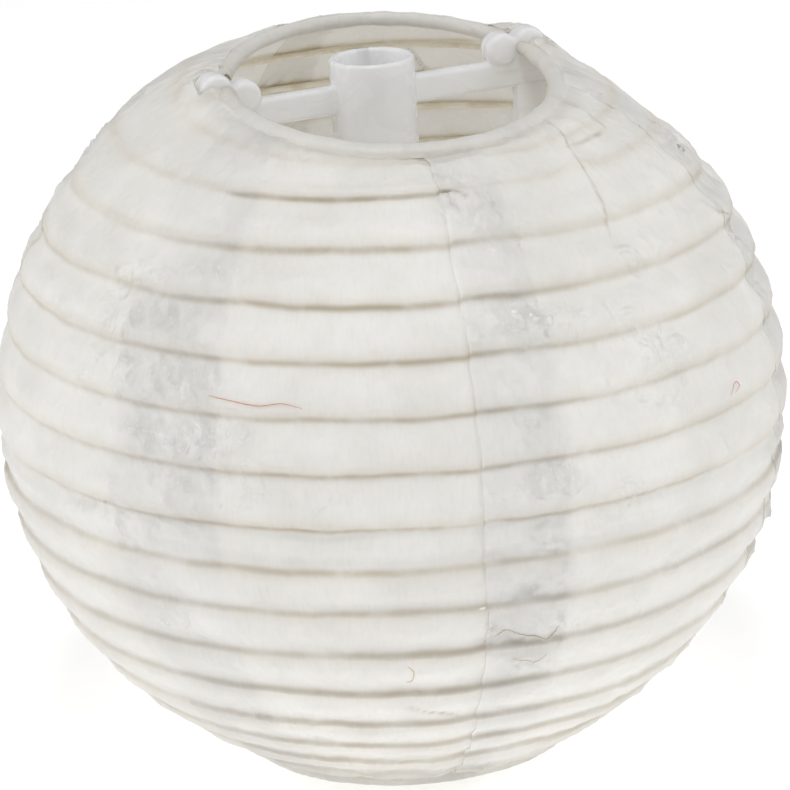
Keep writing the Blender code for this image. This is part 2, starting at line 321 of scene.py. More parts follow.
def band_relief(latitude, angle, sharp):
    turn, down, flipped_upper, flipped_lower = band_parts(latitude, angle)
    near_lower = smoothstep(0.35, 0.65, down)
    flipped = (1.0 - near_lower) * flipped_upper + near_lower * flipped_lower
    height = (1.0 - flipped) * band_height(down, sharp) + flipped * band_height(1.0 - down, sharp)
    crease = (1.0 - flipped) * hump(down, 0.085, 0.055) + flipped * hump(down, 0.915, 0.055)
    return turn, down, height, crease


def rib_strength(latitude, angle, turn):
    """How hard the ribs show: none in the hem, and little beside the front's first turns."""
    angle_deg = wrapped_deg(angle)
    shown = smoothstep(0.55, 0.85, turn) * smoothstep(15.2, 14.6, turn)
    front = smoothstep(-152.0, -138.0, angle_deg) * smoothstep(-95.0, -100.0, angle_deg)
    first = 1.0 - 0.80 * (1.0 - front) * smoothstep(1.75, 1.35, turn)
    early = 1.0 - 0.45 * (1.0 - front) * smoothstep(3.4, 1.8, turn)
    points = paper_point(latitude, angle)
    return 0.96 * shown * first * early * (1.0 + 0.30 * lattice_noise(points, 11.0 * MM, 21))


def near_clip(points):
    """1 at the middle of either clip, falling to 0 a few millimetres away."""
    aside = np.sqrt((np.abs(points[..., 0]) - CLIP.x - 0.5 * MM) ** 2 + points[..., 1] ** 2
                    + (points[..., 2] - CLIP.z) ** 2)
    return np.exp(-(aside / (3.4 * MM)) ** 2)


def line_place(latitude, angle, line):
    """Distance across and share along a crease that runs through (latitude, angle) points in degrees."""
    lat, ang = np.degrees(latitude), np.degrees(angle)
    best = np.full(lat.shape, 1e9)
    side = np.zeros(lat.shape)
    share = np.zeros(lat.shape)
    count = len(line) - 1
    for index in range(count):
        (lat_a, ang_a), (lat_b, ang_b) = line[index], line[index + 1]
        narrow = math.cos(math.radians((lat_a + lat_b) / 2.0))
        px, py = turn_apart(ang, ang_a) * narrow, lat - lat_a
        dx, dy = (ang_b - ang_a) * narrow, lat_b - lat_a
        t = np.clip((px * dx + py * dy) / (dx * dx + dy * dy), 0.0, 1.0)
        away = np.hypot(px - t * dx, py - t * dy)
        nearer = away < best
        best = np.where(nearer, away, best)
        side = np.where(nearer, np.sign(px * dy - py * dx), side)
        share = np.where(nearer, (index + t) / count, share)
    return best * side * 0.65, share


# Tears and creases, as (latitude, angle) points in degrees, with height in millimetres.
TEARS = (
    (((63.5, -62.0), (57.0, -64.5), (51.0, -67.5), (40.0, -68.5), (34.5, -70.5)), 0.28),
    (((33.0, -42.0), (30.5, -39.5), (29.0, -36.0), (26.5, -35.0), (23.5, -36.0)), 0.30),
    (((46.8, -100.2), (46.0, -97.5), (44.6, -94.5)), 0.22),
    (((-33.0, -113.0), (-35.5, -109.0), (-38.0, -103.5)), 0.18),
    (((36.0, 160.0), (30.0, 163.0), (22.0, 162.0)), 0.20),
    (((52.0, 60.0), (45.0, 57.0), (38.0, 58.5)), 0.22),
    (((65.0, -50.0), (58.0, -49.5), (52.5, -50.5), (52.0, -58.0), (52.5, -66.0)), 0.16),
    (((46.5, -31.0), (44.5, -28.0), (39.0, -26.0)), 0.24),
)


def relief(latitude, angle):
    """Height of the paper over its smooth surface, in metres, and the tan in its creases, from 0 to 1: glue
    stain, with painted shade in the creases, the hem's groove and under the tears.
    """
    points = paper_point(latitude, angle)
    angle_deg = np.degrees(angle)
    sharp = 0.22 + 0.78 * pulled_hard(angle_deg, points)
    turn, down, height, crease = band_relief(latitude, angle, sharp)
    strength = rib_strength(latitude, angle, turn)
    height = height * strength
    # Tan along each rib's crease: partly glue stain, partly painted shade in the crease and the wire's painted
    # shadow through the paper.
    stain_and_shade = strength * crease * (0.10 + 0.88 * sharp) * (1.0 - 0.35 * smoothstep(7.0, 8.5, turn))

    # The hem's groove and the swelling under it. The tan added in the groove is painted shade.
    top = below_ring(latitude, angle, 1) / MM
    bottom = below_ring(latitude, angle, -1) / MM
    front = hump(turn_apart(angle_deg, -103.0), 0.0, 38.0)
    for distance, grooved in ((top, front), (bottom, np.full_like(front, 0.6))):
        height += grooved * (-0.24 * hump(distance, 1.55, 0.5) + 0.20 * hump(distance, 3.2, 0.95))
        height += (1.0 - grooved) * 0.50 * smoothstep(5.5, 0.3, distance)
        stain_and_shade += 0.40 * grooved * hump(distance, 1.55, 0.40)

    # Puckers that run down from the rings, where the paper is gathered.
    around = round_axis(angle, 20.0)
    for distance in (top, bottom):
        fade = np.exp(-np.maximum(distance, 0.0) / 3.0)
        height += fade * (0.20 * lattice_noise(around, 1.3, 31) + 0.14 * lattice_noise(around, 0.6, 32))

    # The globe's shoulders: fuller at the back left, flatter at the right.
    latitude_deg = np.degrees(latitude)
    height += smoothstep(0.0, 4.0, top) * (
        1.0 * hump(turn_apart(angle_deg, 145.0), 0.0, 34.0) * hump(latitude_deg, 57.0, 10.0)
        - 0.9 * hump(turn_apart(angle_deg, 3.0), 0.0, 30.0) * hump(latitude_deg, 46.0, 8.0))

    # Slack in the sheets.
    height += 0.13 * lattice_noise(points, 9.0 * MM, 41)
    height += 0.060 * lattice_noise(points, 3.6 * MM, 42)
    rough = smoothstep(-0.15, 0.75, lattice_noise(points, 10.0 * MM, 43))
    squeezed = points * np.array((1.0, 1.0, 1.7))
    height += (0.09 + 0.20 * rough) * creases(squeezed, 2.8 * MM, 44)
    height += (0.045 + 0.07 * rough) * creases(points, 1.3 * MM, 45)

    # Diagonal puckers beside each seam, on the side where the two sheets lie on each other.
    for seam, upper_edge, lower_edge in SEAMS:
        apart = turn_apart(angle_deg, seam + upper_edge)
        overlap = smoothstep(-1.0, 1.0, apart) * smoothstep(lower_edge + 7.0, lower_edge - 2.0, apart)
        slanted = np.stack((apart * 0.55 + np.degrees(latitude) * 0.30, np.degrees(latitude) * 0.34,
                            np.full_like(apart, seam)), -1)
        free = np.sin(np.pi * np.clip(down, 0.0, 1.0)) ** 0.7 * smoothstep(0.8, 4.0, np.minimum(top, bottom))
        patchy = smoothstep(-0.2, 0.6, lattice_noise(points, 7.0 * MM, 51))
        height += overlap * free * patchy * (0.68 * (creases(slanted, 1.5, 52) - 0.4)
                                             + 0.44 * (creases(slanted, 0.7, 53) - 0.4))
        height -= (0.15 if seam == FRONT_SEAM else 0.06) * hump(apart, -0.4, 1.5)

    # Tears: the paper steps up on one side and falls away slowly. The tan along the foot of the step is painted
    # shade.
    for line, lift in TEARS:
        across, share = line_place(latitude, angle, line)
        ends = np.sin(np.pi * np.clip(share, 0.0, 1.0)) ** 0.5
        height += lift * ends * np.where(across > 0.0, np.exp(-across / 0.9), -0.35 * np.exp(across / 0.35))
        stain_and_shade += 0.8 * ends * hump(across, -0.12, 0.16)

    # Glued and crushed paper round the clips.
    clip = near_clip(points)
    height += 1.6 * clip * smoothstep(0.3, 2.0, top)
    height += clip * (0.50 * lattice_noise(points, 1.5 * MM, 61) + 0.35 * creases(points, 1.0 * MM, 62))
    stain_and_shade += 0.7 * clip * smoothstep(0.0, 0.6, lattice_noise(points, 1.3 * MM, 63))
    return height * MM, np.clip(stain_and_shade, 0.0, 1.0)


# ---------------------------------------------------------------- mesh helpers

def grid_faces(rows, columns, wrap=False):
    index = np.arange(rows * columns).reshape(rows, columns)
    if wrap:
        index = np.concatenate((index, index[:, :1]), 1)
    return np.stack((index[:-1, :-1], index[:-1, 1:], index[1:, 1:], index[1:, :-1]), -1).reshape(-1, 4)


def vertex_normals(points, faces):
    corners = points[faces]
    normals = np.cross(corners[:, 2] - corners[:, 0], corners[:, 3] - corners[:, 1])
    total = np.zeros_like(points)
    for corner in range(4):
        np.add.at(total, faces[:, corner], normals)
    return total / np.maximum(np.linalg.norm(total, axis=1, keepdims=True), 1e-12)


def make_piece(name, points, faces, materials, face_materials=None, uvs=None, values=None, sharp_deg=50.0):
    mesh = bpy.data.meshes.new(name)
    mesh.from_pydata(np.asarray(points).tolist(), [], faces.tolist() if isinstance(faces, np.ndarray) else faces)
    for material in materials:
        mesh.materials.append(material)
    if face_materials is not None:
        mesh.polygons.foreach_set("material_index", np.asarray(face_materials, np.int32))
    if uvs is not None:
        layer = mesh.uv_layers.new(name="paper_uv")
        corners = np.empty(len(mesh.loops), np.int32)
        mesh.loops.foreach_get("vertex_index", corners)
        layer.data.foreach_set("uv", np.asarray(uvs, np.float32)[corners].ravel())
    for key, numbers in (values or {}).items():
        attribute = mesh.attributes.new(key, "FLOAT", "POINT")
        attribute.data.foreach_set("value", np.asarray(numbers, np.float32))
    mesh.shade_smooth()
    mesh.set_sharp_from_angle(angle=math.radians(sharp_deg))
    mesh.update()
    piece = bpy.data.objects.new(name, mesh)
    bpy.context.collection.objects.link(piece)
    return piece


def paper_shell(name, points, faces, uvs, stain_and_shade, inner_stain_and_shade, gloss, outside):
    """A sheet with two faces and edges. Its inner face has the second material."""
    used = np.unique(faces)
    renumber = np.full(len(points), -1)
    renumber[used] = np.arange(len(used))
    faces = renumber[faces]
    points, uvs, stain_and_shade, inner_stain_and_shade, gloss = (part[used] for part in (points, uvs, stain_and_shade, inner_stain_and_shade, gloss))
    normals = vertex_normals(points, faces)
    count = len(points)
    inner = points - normals * PAPER
    edges = np.concatenate([faces[:, (corner, (corner + 1) % 4)] for corner in range(4)])
    keys = set(map(tuple, edges.tolist()))
    rim = np.array([edge for edge in edges.tolist() if (edge[1], edge[0]) not in keys])
    walls = np.stack((rim[:, 1], rim[:, 0], rim[:, 0] + count, rim[:, 1] + count), -1)
    all_faces = np.concatenate((faces, faces[:, ::-1] + count, walls))
    kinds = np.concatenate((np.zeros(len(faces)), np.ones(len(faces)), np.zeros(len(walls))))
    return make_piece(name, np.concatenate((points, inner)), all_faces, (outside, PAPER_INSIDE_PAINTED_LIGHTER), kinds,
                      np.concatenate((uvs, uvs)),
                      {"stain_and_shade": np.concatenate((stain_and_shade, inner_stain_and_shade)), "gloss": np.concatenate((gloss, gloss))})


def tube_along(centres, radius, sides=8, closed=False):
    """Points and faces of a round wire along a line of centres."""
    centres = np.asarray(centres)
    if closed:
        ahead, behind = np.roll(centres, -1, 0), np.roll(centres, 1, 0)
    else:
        ahead = np.concatenate((centres[1:], centres[-1:]))
        behind = np.concatenate((centres[:1], centres[:-1]))
    tangents = unit(ahead - behind)
    outs = unit(np.cross(tangents, (0.0, 0.0, 1.0)))
    ups = np.cross(outs, tangents)
    angles = np.arange(sides) * 2.0 * math.pi / sides
    radius = np.broadcast_to(radius, (len(centres),))[:, None, None]
    points = (centres[:, None] + radius * (outs[:, None] * np.cos(angles)[None, :, None]
                                           + ups[:, None] * np.sin(angles)[None, :, None]))
    index = np.arange(len(centres) * sides).reshape(len(centres), sides)
    if closed:
        index = np.concatenate((index, index[:1]))
    index = np.concatenate((index, index[:, :1]), 1)
    faces = np.stack((index[:-1, :-1], index[1:, :-1], index[1:, 1:], index[:-1, 1:]), -1).reshape(-1, 4).tolist()
    if not closed:
        faces.append(list(range(sides - 1, -1, -1)))
        last = (len(centres) - 1) * sides
        faces.append(list(range(last, last + sides)))
    return points.reshape(-1, 3), faces


# ---------------------------------------------------------------- materials

class Shader:
    """A short way to write a material's nodes."""

    def __init__(self, name):
        self.material = bpy.data.materials.new(name)
        self.material.use_nodes = True
        self.tree = self.material.node_tree
        self.tree.nodes.clear()

    def add(self, kind, inputs=None, out=0, **settings):
        node = self.tree.nodes.new("ShaderNode" + kind)
        for key, value in settings.items():
            setattr(node, key, value)
        for key, value in (inputs or {}).items():
            socket = node.inputs[key]
            if isinstance(value, bpy.types.NodeSocket):
                self.tree.links.new(value, socket)
            else:
                socket.default_value = value
        return node.outputs[out] if node.outputs else None

    def math(self, operation, first, second=0.0, third=0.0, clamp=False):
        return self.add("Math", {0: first, 1: second, 2: third}, operation=operation, use_clamp=clamp)

    def ramp(self, value, low, high, start=0.0, end=1.0):
        return self.add("MapRange", {"Value": value, "From Min": low, "From Max": high, "To Min": start,
                                     "To Max": end}, interpolation_type="SMOOTHSTEP")

    def mix(self, share, first, second):
        node = self.tree.nodes.new("ShaderNodeMix")
        node.data_type = "RGBA"
        for socket, value in ((node.inputs[0], share), (node.inputs[6], first), (node.inputs[7], second)):
            if isinstance(value, bpy.types.NodeSocket):
                self.tree.links.new(value, socket)
            else:
                socket.default_value = (*value, 1.0) if isinstance(value, tuple) else value
        return node.outputs[2]

    def bump(self, height, strength, distance_mm, under=None):
        inputs = {"Height": height, "Strength": strength, "Distance": distance_mm * MM}
        if under is not None:
            inputs["Normal"] = under
        return self.add("Bump", inputs)

    def noise(self, vector, scale, detail=3.0, distortion=0.0, roughness=0.55, kind="FBM"):
        return self.add("TexNoise", {"Vector": vector, "Scale": scale, "Detail": detail,
                                     "Roughness": roughness, "Distortion": distortion}, noise_type=kind)

    def stretched(self, vector, scale, turn=(0.0, 0.0, 0.0)):
        return self.add("Mapping", {"Vector": vector, "Scale": scale, "Rotation": turn})

    def value(self, name):
        return self.add("Attribute", out=2, attribute_name=name)

    def end(self, surface):
        self.add("OutputMaterial", {"Surface": surface})
        return self.material


def paper_material(name, light, dark, tan, tan_share, translucent, sheen_roughness):
    shader = Shader(name)
    place = shader.add("TexCoord", out=3)
    sheet = shader.add("UVMap", uv_map="paper_uv")
    stain_and_shade = shader.value("stain_and_shade")
    gloss = shader.value("gloss")

    laid = shader.noise(shader.stretched(sheet, (3300.0, 620.0, 1.0)), 1.0, 2.0, 0.4)
    fibres_a = shader.noise(shader.stretched(sheet, (420.0, 3400.0, 1.0), (0.0, 0.0, 0.55)), 1.0, 2.0, 1.4)
    fibres_b = shader.noise(shader.stretched(sheet, (3400.0, 700.0, 1.0), (0.0, 0.0, 0.35)), 1.0, 2.0, 1.2)
    mottle = shader.noise(place, 150.0, 4.0, 0.3)
    cloud = shader.noise(place, 42.0, 3.0, 0.6)
    crinkle = shader.noise(place, 420.0, 3.0, 0.8, kind="RIDGED_MULTIFRACTAL")
    crisp = shader.noise(place, 1150.0, 2.0, 1.0, kind="RIDGED_MULTIFRACTAL")

    tone = shader.math("ADD", shader.math("MULTIPLY", mottle, 0.6), shader.math("MULTIPLY", cloud, 0.5))
    colour = shader.mix(shader.ramp(tone, 0.38, 0.78), dark, light)
    fibre = shader.math("MAXIMUM", shader.ramp(fibres_a, 0.60, 0.78), shader.ramp(fibres_b, 0.60, 0.80))
    colour = shader.mix(shader.math("MULTIPLY", fibre, 0.14), colour, (0.97, 0.965, 0.95))
    colour = shader.mix(shader.math("MULTIPLY", shader.ramp(laid, 0.55, 0.30), 0.07), colour,
                        (0.60, 0.57, 0.51))
    blotch = shader.ramp(shader.noise(place, 260.0, 3.0, 0.5), 0.30, 0.62)
    # Tan mixed in: glue stain, with painted shade in the creases, grooves and under the tears, and the ribs'
    # painted shadow inside.
    tan_stain_and_shade = shader.math("MULTIPLY", stain_and_shade, shader.math("MULTIPLY_ADD", blotch, 0.55, 0.45))
    colour = shader.mix(shader.math("MULTIPLY", tan_stain_and_shade, tan_share, clamp=True), colour, tan)
    specks = shader.add("TexVoronoi", {"Vector": place, "Scale": 230.0, "Randomness": 1.0})
    chosen = shader.add("TexVoronoi", {"Vector": place, "Scale": 230.0, "Randomness": 1.0}, out=1)
    rare = shader.math("GREATER_THAN", shader.add("SeparateColor", {"Color": chosen}), 0.985)
    speck = shader.math("MULTIPLY", shader.ramp(specks, 0.085, 0.05), rare)
    colour = shader.mix(shader.math("MULTIPLY", speck, 0.75), colour, (0.10, 0.07, 0.05))

    patchy = shader.ramp(shader.noise(place, 330.0, 4.0, 1.0), 0.42, 0.60)
    wet = shader.math("MULTIPLY", gloss, shader.math("MULTIPLY_ADD", patchy, 0.7, 0.3))
    roughness = shader.ramp(wet, 0.0, 1.0, 0.62, sheen_roughness)
    roughness = shader.math("ADD", roughness, shader.math("MULTIPLY", shader.math("SUBTRACT", mottle, 0.5), 0.16))

    bump = shader.bump(laid, 0.40, 0.018)
    bump = shader.bump(fibre, 0.4, 0.015, bump)
    crumple = shader.math("MULTIPLY", crinkle, shader.math("MULTIPLY_ADD", gloss, 0.9, 0.40))
    bump = shader.bump(crumple, 1.0, 0.32, bump)
    bump = shader.bump(shader.math("MULTIPLY", crisp, wet), 1.0, 0.13, bump)
    bump = shader.bump(mottle, 0.9, 0.38, bump)
    body = shader.add("BsdfPrincipled", {"Base Color": colour, "Roughness": roughness, "Normal": bump,
                                         "Specular IOR Level": 0.75})
    glow = shader.add("BsdfTranslucent", {"Color": colour, "Normal": bump})
    return shader.end(shader.add("MixShader", {"Fac": translucent, 1: body, 2: glow}))


def plastic_material():
    shader = Shader("milky_plastic")
    place = shader.add("TexCoord", out=3)
    haze = shader.noise(place, 160.0, 3.0, 0.5)
    flow = shader.noise(shader.stretched(place, (90.0, 500.0, 260.0)), 1.0, 3.0, 1.2)
    colour = shader.mix(shader.ramp(haze, 0.35, 0.70), (0.90, 0.905, 0.915), (0.94, 0.944, 0.952))
    roughness = shader.ramp(flow, 0.30, 0.72, 0.20, 0.36)
    bump = shader.bump(haze, 0.5, 0.10, shader.bump(flow, 0.35, 0.05))
    body = shader.add("BsdfPrincipled", {
        "Base Color": colour, "Roughness": roughness, "Normal": bump, "Specular IOR Level": 0.55,
        "Subsurface Weight": 0.35, "Subsurface Radius": (1.0, 1.0, 1.0), "Subsurface Scale": 1.4 * MM})
    glow = shader.add("BsdfTranslucent", {"Color": colour})
    return shader.end(shader.add("MixShader", {"Fac": 0.30, 1: body, 2: glow}))


def wire_material(name, bright, dull, metallic):
    shader = Shader(name)
    place = shader.add("TexCoord", out=3)
    drawn = shader.noise(shader.stretched(place, (900.0, 900.0, 2600.0)), 1.0, 3.0, 0.6)
    glue = shader.noise(place, 380.0, 4.0, 0.8)
    colour = shader.mix(shader.ramp(glue, 0.36, 0.64), bright, dull)
    roughness = shader.ramp(drawn, 0.3, 0.7, 0.34, 0.60)
    bump = shader.bump(glue, 0.7, 0.08, shader.bump(drawn, 0.5, 0.03))
    body = shader.add("BsdfPrincipled", {"Base Color": colour, "Roughness": roughness, "Metallic": metallic,
                                         "Normal": bump})
    return shader.end(body)


def fibre_material(name, colour, other):
    shader = Shader(name)
    place = shader.add("TexCoord", out=3)
    tone = shader.noise(place, 1800.0, 2.0)
    body = shader.add("BsdfPrincipled", {"Base Color": shader.mix(tone, colour, other),
                                         "Roughness": shader.ramp(tone, 0.3, 0.7, 0.45, 0.7)})
    return shader.end(body)


PAPER_OUTSIDE = paper_material("rice_paper", (0.952, 0.949, 0.942), (0.88, 0.875, 0.863),
                               (0.56, 0.50, 0.38), 0.85, 0.50, 0.20)
# The globe's inner face: the same paper painted lighter, standing in for light inside the globe.
PAPER_INSIDE_PAINTED_LIGHTER = paper_material("rice_paper_inside_painted_lighter", (0.985, 0.983, 0.977), (0.97, 0.966, 0.956),
                              (0.87, 0.81, 0.69), 0.80, 0.50, 0.40)
# The hem's paper: its cream tone is its own, and it is painted lighter, standing in for light on the shaded rim
# and inner flap.
PAPER_HEM_PAINTED_LIGHTER = paper_material("rice_paper_hem_painted_lighter", (0.965, 0.962, 0.952), (0.93, 0.922, 0.902),
                           (0.76, 0.70, 0.58), 0.80, 0.50, 0.24)
PLASTIC = plastic_material()
RIB_METAL = wire_material("glued_rib_wire", (0.90, 0.86, 0.76), (0.80, 0.74, 0.60), 0.0)
RING_METAL = wire_material("ring_wire", (0.52, 0.48, 0.42), (0.36, 0.30, 0.22), 0.8)
TAN_FIBRE = fibre_material("tan_fibre", (0.45, 0.30, 0.14), (0.62, 0.48, 0.30))
RED_FIBRE = fibre_material("red_fibre", (0.50, 0.16, 0.09), (0.62, 0.30, 0.18))


# ---------------------------------------------------------------- paper gores

def gore_top(angle):
    """Distance below the top ring at which the gores start: further at the front, and round the clips' lobes."""
    distance = (0.55 - 0.35 * np.sin(angle)) * MM
    for side in (0.0, 180.0):
        apart = np.abs(turn_apart(np.degrees(angle), side))
        distance = np.maximum(distance, 2.6 * MM * smoothstep(5.8, 4.6, apart))
    return distance


def gloss_at(points, angle_deg, latitude_deg):
    """Where glue has made the paper shine."""
    left = hump(turn_apart(angle_deg, -146.0), 0.0, 20.0) * hump(latitude_deg, 10.0, 32.0)
    right = hump(turn_apart(angle_deg, -80.0), 0.0, 22.0) * hump(latitude_deg, 12.0, 30.0)
    far = hump(turn_apart(angle_deg, 60.0), 0.0, 45.0) * hump(latitude_deg, 5.0, 30.0)
    patches = smoothstep(-0.1, 0.55, lattice_noise(points * np.array((1.0, 1.0, 1.6)), 6.5 * MM, 71))
    return np.clip(0.12 + patches * (0.25 + left + 0.9 * right + 0.6 * far), 0.0, 1.0)


def sheet_uv(latitude, angle):
    return np.stack((GLOBE_RADIUS * angle, GLOBE_RADIUS * latitude), -1)


def sheet_rows(angle, top_latitude, bottom_latitude):
    """Latitudes of a sheet's rows, one column for each angle. The rows follow the ribs."""
    offset = rib_offset(np.degrees(angle))
    top_turn, bottom_turn = turn_at(top_latitude), turn_at(bottom_latitude)
    first = math.ceil((top_turn - offset).max() + 0.05)
    last = math.floor((bottom_turn - offset).min() - 0.05)
    rows = []
    count = max(6, int(round(18 * ((first + offset) - top_turn).max())))
    for row in range(count):
        rows.append(top_turn + (first + offset - top_turn) * row / count)
    for rib in range(first, last):
        above = rib + offset.mean() < FLIP_TURN + 0.1
        below = rib + 1.0 + offset.mean() > FLIP_TURN - 0.1
        places = set(BAND_ROWS if above else ()) | set(1.0 - place for place in BAND_ROWS[1:] if below)
        places = sorted(places | {0.0})
        places = [place for spot, place in enumerate(places) if spot == 0 or place - places[spot - 1] > 0.012]
        rows.extend(rib + place + offset for place in places)
    count = max(6, int(round(18 * (bottom_turn - (last + offset)).max())))
    for row in range(count + 1):
        rows.append(last + offset + (bottom_turn - last - offset) * row / count)
    turns = np.array(rows)
    middle = (turns > top_turn + 0.01) & (turns < bottom_turn - 0.01)
    turns = np.where(middle, turns - rib_wobble(np.degrees(angle)[None, :] + 0.0 * turns, turns)
                     * smoothstep(0.0, 0.6, turns - top_turn) * smoothstep(0.0, 0.6, bottom_turn - turns), turns)
    return latitude_at(turns)


def make_gore(index, columns=124):
    seam, upper_edge, _ = SEAMS[index]
    next_seam, _, lower_edge = SEAMS[(index + 1) % 6]
    start = seam + upper_edge
    end = next_seam + lower_edge + (360.0 if next_seam < seam else 0.0)
    share = np.linspace(0.0, 1.0, columns + 1)
    angle_deg = start + (end - start) * share
    angle = np.radians(angle_deg)
    latitude = sheet_rows(angle, latitude_below_ring(gore_top(angle), angle, 1),
                          latitude_below_ring(np.full_like(angle, 0.7 * MM), angle, -1))
    # The cut edges aren't quite straight.
    rows = len(latitude)
    ragged = np.stack((latitude * 60.0, np.full_like(latitude, index * 9.0), np.zeros_like(latitude)), -1)
    waver = 0.30 * lattice_noise(ragged, 9.0, 81) + 0.10 * lattice_noise(ragged, 1.6, 82)
    side = smoothstep(0.06, 0.0, share) + smoothstep(0.94, 1.0, share)
    angles = np.radians(angle_deg[None, :] + waver * side[None, :])
    flat_lat, flat_ang = latitude.ravel(), angles.ravel()
    height, stain_and_shade = relief(flat_lat, flat_ang)
    start_gap = np.tile(angle_deg - start, rows)
    end_gap = np.tile(end - angle_deg, rows)
    own_overlap = SEAMS[index][2] - SEAMS[index][1]
    height += SHEET_LIFT * smoothstep(own_overlap + 1.6, own_overlap - 0.4, start_gap)
    height += (0.12 if seam == FRONT_SEAM else 0.03) * MM * hump(start_gap, 0.0, 1.0)
    other_overlap = SEAMS[(index + 1) % 6][2] - SEAMS[(index + 1) % 6][1]
    height -= 0.02 * MM * smoothstep(other_overlap + 0.8, other_overlap - 0.8, end_gap)
    points = raised(flat_lat, flat_ang, height)
    _, down, _, _ = band_parts(flat_lat, flat_ang)
    # On the inner face, tan bands at the ribs: partly glue, partly the ribs' painted shadow, with the outer
    # face's tan carried in.
    inner_stain_and_shade = np.clip(1.1 * (hump(down, 0.0, 0.11) + hump(down, 1.0, 0.11)) + 0.2 * stain_and_shade + 0.04, 0.0, 1.0)
    gloss = gloss_at(points, np.degrees(flat_ang), np.degrees(flat_lat))
    gore = paper_shell("paper_gore_sheet_%d" % (index + 1), points, grid_faces(rows, columns + 1)[:, ::-1],
                       sheet_uv(flat_lat, flat_ang), stain_and_shade, inner_stain_and_shade, gloss, PAPER_OUTSIDE)
    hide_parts("paper_gore_%d" % (index + 1))
    fold_with_globe(gore)


def fold_with_globe(piece):
    """Bakes the piece's placement into its mesh."""
    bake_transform(piece)


for gore_index in range(6):
    make_gore(gore_index)


# ---------------------------------------------------------------- hems round the rings

def hem_uv(angle, beyond):
    return np.stack((GLOBE_RADIUS * angle, GLOBE_RADIUS * RING_LATITUDE + beyond), -1)


def make_hem(name, end, body, columns=520):
    """Paper rolled round an end ring's wire: a skirt outside, a roll, and a flap inside."""
    angle = np.radians(np.arange(columns) * 360.0 / columns)
    centre = ring_point(angle, end)
    latitude = np.full_like(angle, end * RING_LATITUDE)
    outward = paper_normal(latitude * 0.9995, angle)
    radial = round_axis(angle, 1.0)
    up = np.array((0.0, 0.0, float(end)))
    around = round_axis(angle, 20.0)
    lumps = lattice_noise(around, 2.4, 91 + end) * 0.6 + lattice_noise(around, 0.8, 95 + end) * 0.4
    roll = (0.66 + 0.07 * lumps) * MM
    skirt = (1.75 + 0.35 * np.sin(angle)) * MM if end > 0 else np.full_like(angle, 1.7 * MM)
    skirt = skirt + 0.12 * MM * lattice_noise(around, 1.2, 97)
    rows, stains_and_shade, uvs = [], [], []
    for share in np.linspace(1.0, 0.0, 12, endpoint=False):
        distance = skirt * share
        lat = latitude_below_ring(distance, angle, end)
        height, stain_and_shade = relief(lat, angle)
        arch = roll * np.sqrt(np.clip(1.0 - (distance / (1.25 * MM)) ** 2, 0.0, 1.0))
        lift = np.maximum(arch, (height + 0.06 * MM) * smoothstep(0.0, 0.9 * MM, distance))
        lift -= 0.22 * MM * smoothstep(0.70, 1.0, share)
        rows.append(raised(lat, angle, lift))
        # The skirt takes the paper's tan, with the painted shade in the hem's groove.
        stains_and_shade.append(stain_and_shade)
        uvs.append(hem_uv(angle, -distance))
    lean = np.arctan2((outward * up).sum(1), (outward * radial).sum(1))
    for share in np.linspace(0.0, 1.0, 12, endpoint=False):
        turn = lean + math.pi * share
        ray = radial * np.cos(turn)[:, None] + up * np.sin(turn)[:, None]
        rows.append(centre + ray * roll[:, None])
        stains_and_shade.append(0.10 + 0.15 * smoothstep(0.2, 0.8, lumps))
        uvs.append(hem_uv(angle, roll * share * 2.0))
    flap = (2.6 + 0.35 * lattice_noise(around, 2.0, 98)) * MM
    for share in np.linspace(0.0, 1.0, 12):
        distance = flap * share
        lat = latitude_below_ring(distance, angle, end)
        height, stain_and_shade = relief(lat, angle)
        hug = smoothstep(0.3 * MM, 3.6 * MM, distance)
        depth = (height - 0.26 * MM) * hug - roll * (1.0 - hug)
        depth = depth + 0.05 * MM * hug * lattice_noise(around, 1.3, 99)
        rows.append(raised(lat, angle, depth))
        # The flap's tan rises towards its free edge and takes a share of the paper's tan.
        stains_and_shade.append(0.10 + 0.50 * smoothstep(0.3, 1.0, share) + 0.2 * stain_and_shade)
        uvs.append(hem_uv(angle, 2.0 * roll + distance))
    points = np.array(rows)
    crush = near_clip(points) if end > 0 else np.zeros(points.shape[:2])
    away = unit(points - centre[None])
    points += away * (crush * (0.30 * lattice_noise(points, 1.3 * MM, 101)
                               + 0.16 * creases(points, 0.9 * MM, 102)) * MM)[..., None]
    fine = 0.05 * lattice_noise(points, 1.1 * MM, 103) + 0.04 * creases(points, 1.7 * MM, 104)
    points += away * (fine * MM)[..., None]
    if end < 0:
        points[..., 2] = np.maximum(points[..., 2], 0.02 * MM)
    stains_and_shade = np.clip(np.array([np.broadcast_to(stain_and_shade, angle.shape) for stain_and_shade in stains_and_shade]) + 0.5 * crush, 0.0, 1.0)
    faces = grid_faces(len(rows), columns, wrap=True)
    flat = points.reshape(-1, 3)
    if end > 0:
        slit = (1.32 + 0.16 * lattice_noise(flat, 1.0 * MM, 105)) * MM
        cut = np.abs(flat[:, 1]) < slit
        faces = faces[~cut[faces].any(1)]
    gloss = np.clip(0.25 + 0.5 * lattice_noise(flat, 4.0 * MM, 106) + 0.6 * crush.ravel(), 0.0, 1.0)
    stain_and_shade = stains_and_shade.ravel()
    hem = paper_shell(name, flat, faces, np.array(uvs).reshape(-1, 2), stain_and_shade,
                      np.clip(stain_and_shade + 0.15, 0.0, 1.0), gloss, PAPER_HEM_PAINTED_LIGHTER)
    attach(hem, body)


make_hem("rim_hem", 1, "lantern")
make_hem("base_hem", -1, "base")


# ---------------------------------------------------------------- wires

